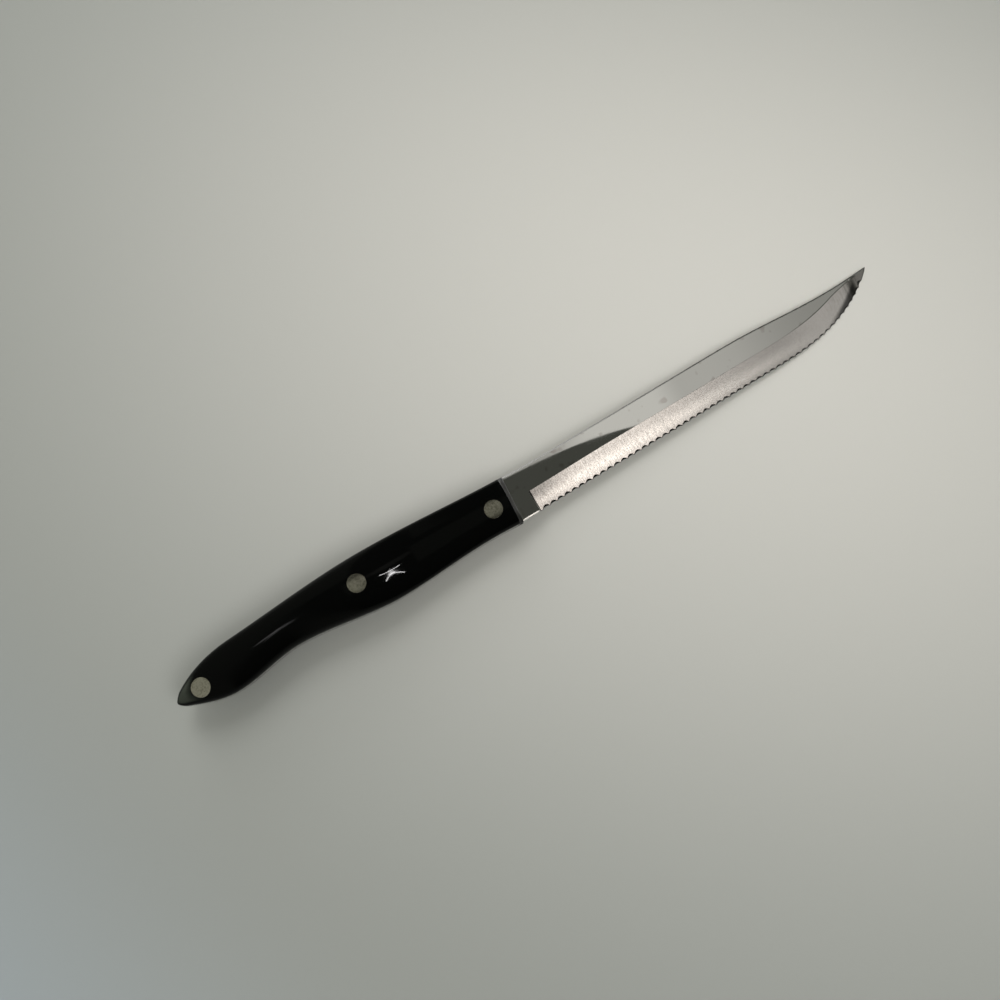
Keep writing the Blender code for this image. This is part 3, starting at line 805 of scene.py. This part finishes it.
for name, x, y in RIVETS:
    under = scale_surface(x, y) - HEAD_DEPTH + HOLE_PLAY
    end = HOLE_PLAY - under
    pin = [(PIN_RADIUS, under), (PIN_RADIUS, end)]
    tube = [(TUBE_RADIUS, under), (TUBE_RADIUS, end), (BORE, end), (BORE, under)]
    for half, side, shank in (("male", 1, pin), ("female", -1, tube)):
        piece = rivet_half(f"{name}_{half}_turned", x, y, side, shank)
        piece.data.materials.append(nickel)
        laid_down(piece, f"{name}_{half}", RIVET_CREASE)

# Table: a plain top that the knife lies on, painted a pale grey and slightly uneven. A painted pool of light
# is palest in an oval round the blade and darker away from it, and the top is bluish far behind the butt.

TABLE_SIZE = 3.0
PAINT_COLOUR = (0.72, 0.72, 0.69)
POOL_OF_LIGHT_COLOUR, BEYOND_POOL_COLOUR, BLUISH = (0.652, 0.637, 0.597), (0.311, 0.322, 0.301), (0.36, 0.42, 0.47)
POOL_PLACE = (0.093, 0.018, 0.0)
POOL_TURN = math.radians(131.0)
POOL_SIZE = (0.366, 0.266, 1.0)
BLUISH_SLANT = 0.233
BLUISH_RANGE = (-0.34, -0.14)
PAINT_DEPTH = 0.02 * MM
table = bpy.data.meshes.new("table")
half_size = TABLE_SIZE / 2
corners = ((-1, -1), (1, -1), (1, 1), (-1, 1))
table.from_pydata([(u * half_size, v * half_size, 0.0) for u, v in corners], [], [(0, 1, 2, 3)])
table_top = bpy.data.objects.new("table", table)
bpy.context.scene.collection.objects.link(table_top)
paint, tree, shader = shader_of("table_paint", PAINT_COLOUR, roughness=0.5)
# Painted pool of light: an oval round the blade, palest in its middle
oval = tree.nodes.new("ShaderNodeMapping")
oval.vector_type = "TEXTURE"
oval.inputs["Location"].default_value = POOL_PLACE
oval.inputs["Rotation"].default_value = (0.0, 0.0, POOL_TURN)
oval.inputs["Scale"].default_value = POOL_SIZE
tree.links.new(tree.nodes.new("ShaderNodeTexCoord").outputs["Object"], oval.inputs["Vector"])
away = tree.nodes.new("ShaderNodeVectorMath")
away.operation = "LENGTH"
tree.links.new(oval.outputs["Vector"], away.inputs[0])
# Painted pool of light, from the palest colour inside the oval to the darker one beyond it
painted_pool_tint = tinted(tree, shader, spread_over(tree, away.outputs["Value"], GROW, GROW), POOL_OF_LIGHT_COLOUR, BEYOND_POOL_COLOUR)
length, height, _ = places_of(tree)
aside = worked(tree, "MULTIPLY_ADD", height, BLUISH_SLANT, length)
tinted(tree, shader, spread_over(tree, aside, BLUISH_RANGE, GROW), BLUISH, painted_pool_tint)
raised(tree, shader, grain(tree, EVEN, scale=900.0, detail=3.0), PAINT_DEPTH)
table.materials.append(paint)

# Light: a dim room that the steel mirrors, with a bright stretch of ceiling beyond the point, and pale walls
# behind the butt and past the spine. Soft lamps overhead light the table, two windows show in the steel
# alone, and thin strip lamps glint in the resin alone.

# Stretches of the room by the share of a mirrored direction towards the point, east, and towards the spine,
# north, as (from, to) or (rises from, to, falls from, to)
DIM_EAST, DIM_LIGHT = (-0.2, 0.2), (0.05, 0.07)
NEAR_EAST, NEAR_NORTH, NEAR_LIGHT = (0.0, 0.05, 0.185, 0.2), (-0.14, -0.08, 0.25, 0.3), 0.255
WALL_EAST, WALL_LIGHT = (-0.2, -0.1), 0.31
PAST_SPINE_EAST, PAST_SPINE_NORTH, PAST_SPINE_LIGHT = (-0.2, -0.1, 0.1, 0.16), (0.4, 0.5), 0.3
DIM_COLOUR = (1.0, 1.02, 0.88)

# The ceiling, dimmer in steps towards its near and far ends, and cut off by a dark oval with a soft rim
CEILING_EAST, CEILING_NORTH = (0.19, 0.21, 0.7, 0.8), (0.03, 0.04, 0.18, 0.21)
CEILING_STEPS = (((0.24, 0.3), (0.42, 0.68)), ((0.36, 0.39), (1.0, 0.74)), ((0.4, 0.58), (1.0, 0.5)))
CEILING_COLOUR = (1.0, 0.975, 0.925)
DARK_MIDDLE, DARK_REACH, DARK_POWER = (0.05, -0.02), (0.37, 0.158), 3.0
DARK_RIM = (1.006, 0.994)

# The shaded ceiling that the bevel shows near the point, and the wall far past it
SHADE_EAST, SHADE_NORTH = (0.34, 0.44, 0.638, 0.666), (-0.45, -0.38, -0.165, -0.125)
SHADE_STEP, SHADE_LIGHT = (0.5, 0.56), (0.54, 0.47)
FAR_EAST, FAR_NORTH, FAR_LIGHT = (0.7, 0.745), (-0.45, -0.35, -0.1, 0.0), (0.0, 0.14)
SHADE_COLOUR = (1.0, 0.99, 0.95)
PALE_COLOUR = (0.8, 0.8, 0.78)

world = bpy.data.worlds.new("room")
bpy.context.scene.world = world
world.use_nodes = True
tree = world.node_tree
tree.nodes.clear()
direction = parts_of(tree, tree.nodes.new("ShaderNodeTexCoord").outputs["Generated"])
east, north = direction["X"], direction["Y"]


def band(socket, rise_from, rise_to, fall_from, fall_to):
    """1 between rise and fall along one direction, 0 outside."""
    rise = spread_over(tree, socket, (rise_from, rise_to), GROW)
    return times(tree, rise, spread_over(tree, socket, (fall_from, fall_to), FADE))


def summed(*values):
    """Sum of sockets."""
    total = values[0]
    for value in values[1:]:
        total = worked(tree, "ADD", total, value)
    return total


def oval_patch(middle, reach, power, rim):
    """1 inside an oval patch of the room, 0 outside, with a soft rim."""
    sides = []
    for socket, centre, half in zip((east, north), middle, reach):
        share = worked(tree, "DIVIDE", worked(tree, "SUBTRACT", socket, centre), half)
        sides.append(worked(tree, "POWER", worked(tree, "ABSOLUTE", share), power))
    return spread_over(tree, summed(*sides), rim, GROW)


def lit(colour, strength=None):
    """A stretch of the room that gives light of this colour."""
    stretch = tree.nodes.new("ShaderNodeBackground")
    stretch.inputs["Color"].default_value = (*colour, 1.0)
    if strength:
        tree.links.new(strength, stretch.inputs["Strength"])
    return stretch.outputs["Background"]


def together(one, other):
    """Light of two stretches of the room."""
    both = tree.nodes.new("ShaderNodeAddShader")
    tree.links.new(one, both.inputs[0])
    tree.links.new(other, both.inputs[1])
    return both.outputs["Shader"]


past_spine = spread_over(tree, north, PAST_SPINE_NORTH, GROW)
dim = summed(
    spread_over(tree, east, DIM_EAST, DIM_LIGHT),
    times(tree, band(east, *NEAR_EAST), band(north, *NEAR_NORTH), NEAR_LIGHT),
    times(tree, spread_over(tree, east, WALL_EAST, FADE), WALL_LIGHT),
    times(tree, band(east, *PAST_SPINE_EAST), past_spine, PAST_SPINE_LIGHT),
)
ceiling = times(
    tree,
    band(east, *CEILING_EAST),
    band(north, *CEILING_NORTH),
    worked(tree, "SUBTRACT", 1.0, oval_patch(DARK_MIDDLE, DARK_REACH, DARK_POWER, DARK_RIM)),
    *(spread_over(tree, east, over, onto) for over, onto in CEILING_STEPS),
)
shade = times(
    tree,
    band(east, *SHADE_EAST),
    band(north, *SHADE_NORTH),
    spread_over(tree, east, SHADE_STEP, SHADE_LIGHT),
)
far = times(tree, spread_over(tree, east, FAR_EAST, FAR_LIGHT), band(north, *FAR_NORTH))
room = together(lit(DIM_COLOUR, dim), lit(CEILING_COLOUR, ceiling))
room = together(room, lit(SHADE_COLOUR, summed(shade, far)))
chosen = tree.nodes.new("ShaderNodeMixShader")
tree.links.new(tree.nodes.new("ShaderNodeLightPath").outputs["Is Camera Ray"], chosen.inputs["Fac"])
tree.links.new(room, chosen.inputs[1])
tree.links.new(lit(PALE_COLOUR), chosen.inputs[2])
tree.links.new(chosen.outputs["Shader"], tree.nodes.new("ShaderNodeOutputWorld").inputs["Surface"])

# Soft lamps, turned towards the knife, as (name, place, size, watts)
SOFT_LAMPS = (
    ("panel", (0.0, 0.0, 1.5), (12.0, 12.0), 62.0),
    ("key", (0.2, 1.2, 1.45), (1.0, 1.0), 14.4),
    ("skim", (0.2, 1.9, 0.8), (1.2, 0.6), 8.0),
    ("fill", (0.2, -0.9, 1.45), (0.8, 0.8), 9.5),
)
LENGTHWISE = Vector((1.0, 0.0, 0.0))
PLAIN_WHITE = (1.0, 1.0, 1.0)


def lamp(name, place, facing, run, size, watts, colour):
    """Rectangular lamp at a place, facing along one direction, its length run along another."""
    light = bpy.data.lights.new(name, "AREA")
    light.shape = "RECTANGLE"
    light.size, light.size_y = size
    light.energy = watts
    light.color = colour
    back = -facing.normalized()
    across = (run - run.dot(back) * back).normalized()
    turn = Matrix((across, back.cross(across), back)).transposed().to_4x4()
    stand = bpy.data.objects.new(name, light)
    stand.matrix_world = Matrix.Translation(place) @ turn
    bpy.context.scene.collection.objects.link(stand)
    return stand


for name, place, size, watts in SOFT_LAMPS:
    soft = lamp(name, place, -Vector(place), LENGTHWISE, size, watts, PLAIN_WHITE)
    soft.visible_glossy = False
    soft.visible_camera = False

# Lamps that the scales or the blade alone mirror, each group at a place on them, as (name, from direction,
# to direction, width as an angle, watts)
GLINT_DISTANCE = 12.0
WHITE = (1.0, 0.98, 0.98)
WARM_WHITE = (1.0, 0.93, 0.86)
STAR_AT = Vector((-0.0602, -0.0027, 0.0136))
STAR = (
    ("star_lamp_a", (0.2927, 0.0858, 0.9523), (0.2853, -0.0471, 0.9573), 0.0034, 27.0),
    ("star_lamp_b", (0.2626, -0.1941, 0.9452), (0.2916, -0.0041, 0.9565), 0.0029, 42.0),
    ("star_lamp_c", (0.2897, 0.0447, 0.9561), (0.2747, 0.0625, 0.9595), 0.004, 13.2),
)
STREAK_AT = Vector((-0.1007, 0.0004, 0.0158))
STREAK = (
    ("streak_lamp_a", (-0.1568, 0.1257, 0.9796), (-0.1418, 0.08, 0.9867), 0.008, 1.2),
    ("streak_lamp_b", (-0.1414, 0.0298, 0.9895), (-0.1472, 0.1242, 0.9813), 0.0025, 0.8),
)
BEVEL_AT = Vector((0.035, -0.005, 0.0045))
BACK_WINDOW = (("back_window", (0.2, 0.5, 0.843), (0.2, 0.81, 0.551), 0.19, 30.0),)
WINDOW = (("window", (0.2725, -0.48, 0.8338), (0.2725, -0.18, 0.9454), 0.214, 61.0),)


def glints(mirror, seen_at, colour, strips):
    """Strip lamps between pairs of directions from the place that mirrors them, for one collection."""
    for name, start, end, width, watts in strips:
        start, end = (seen_at + GLINT_DISTANCE * Vector(towards).normalized() for towards in (start, end))
        middle = (start + end) / 2
        size = ((end - start).length, width * GLINT_DISTANCE)
        strip = lamp(name, middle, seen_at - middle, end - start, size, watts, colour)
        strip.visible_diffuse = False
        strip.light_linking.receiver_collection = mirror


glints(handle, STAR_AT, WHITE, STAR)
glints(handle, STREAK_AT, WHITE, STREAK)
glints(steel, BEVEL_AT, WHITE, BACK_WINDOW)
glints(steel, BEVEL_AT, WARM_WHITE, WINDOW)

# Camera: held over the table on the edge's side of the knife, looking down a little towards the spine. It has
# a plain lens, whose view is as wide as it is far away.

EYE = Vector((-58.9, -64.2, 330.5)) * MM
HEADING = math.radians(-31.88)
TILT = math.radians(13.35)
SENSOR_WIDTH = 36.0
FOCAL_LENGTH = 36.0
lens = bpy.data.cameras.new("camera")
lens.sensor_width = SENSOR_WIDTH
lens.lens = FOCAL_LENGTH
camera = bpy.data.objects.new("camera", lens)
camera.location = EYE
camera.rotation_euler = (TILT, 0.0, HEADING)
bpy.context.scene.collection.objects.link(camera)
bpy.context.scene.camera = camera
bpy.context.scene.view_settings.view_transform = "Standard"

bpy.context.view_layer.update()
